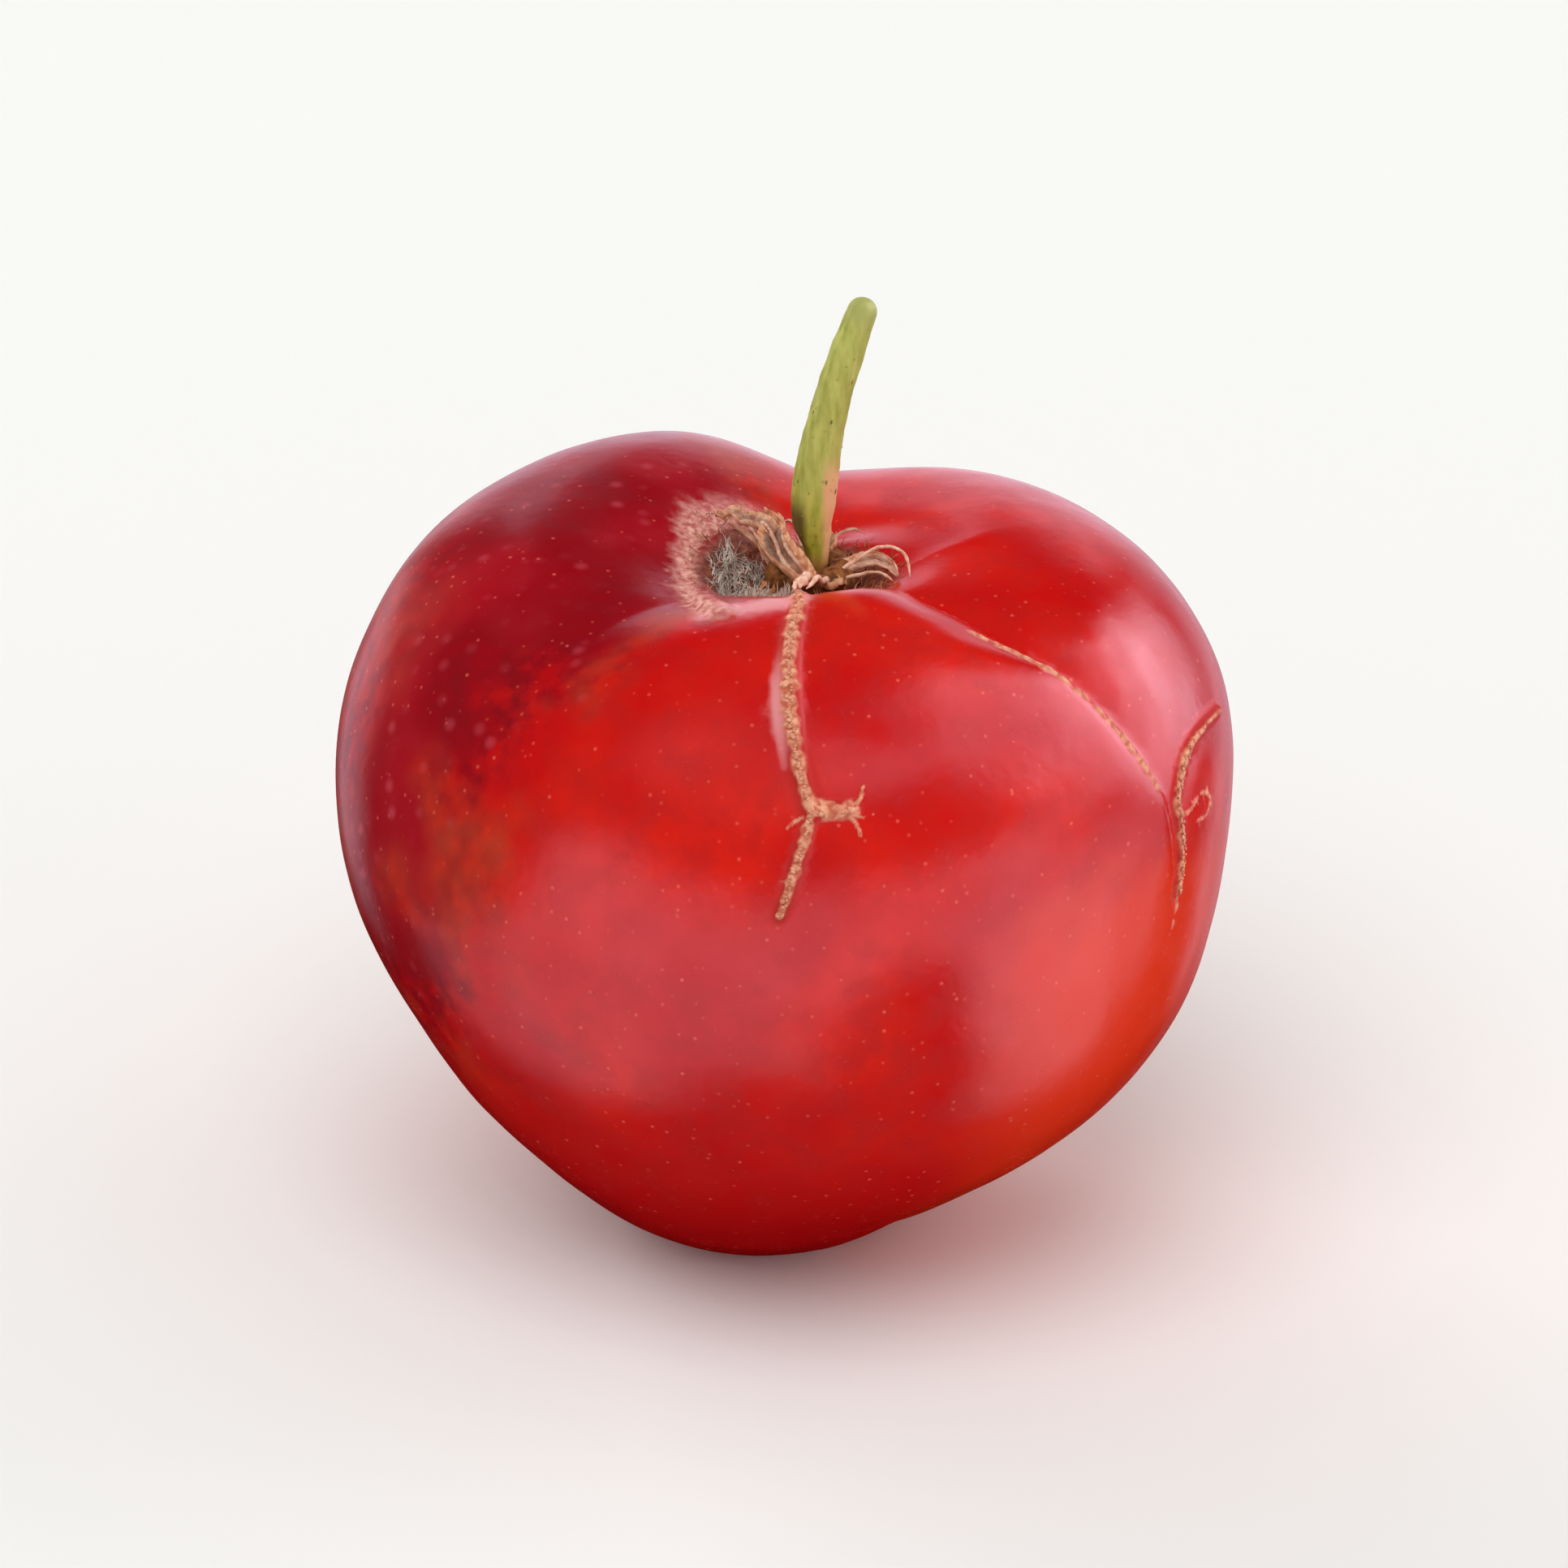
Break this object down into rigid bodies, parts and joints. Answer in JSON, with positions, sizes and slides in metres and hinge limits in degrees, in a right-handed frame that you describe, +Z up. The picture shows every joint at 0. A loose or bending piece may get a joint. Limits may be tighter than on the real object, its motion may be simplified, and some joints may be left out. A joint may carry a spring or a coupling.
{
  "type": "acerola",
  "caption": "Ripe acerola fruit with fused lobes, soft grooves and raised cork scars, resting on its tip end, with dried calyx and a short bent stalk.",
  "frame": {"origin": "middle of the flat spot at the tip end that the fruit rests on, under the middle of its bounding box", "axes": "+Z up along the fruit's core towards the stalk; the front lobe with the long cork scar faces -Y, and +X is to its right"},
  "size_m": [0.0252, 0.0246, 0.028],
  "materials": {
    "skin": "thin waxy skin, crimson to orange red, glossy, with tan cork lines",
    "dried_calyx": "dried and curled plant tissue, tan to dark brown, dull",
    "stalk_skin": "fresh green stem, yellow green, satin, with small brown pores"
  },
  "bodies": {
    "root": {"fruit": "skin", "calyx": "dried_calyx", "stalk": "stalk_skin"}
  },
  "joints": []
}
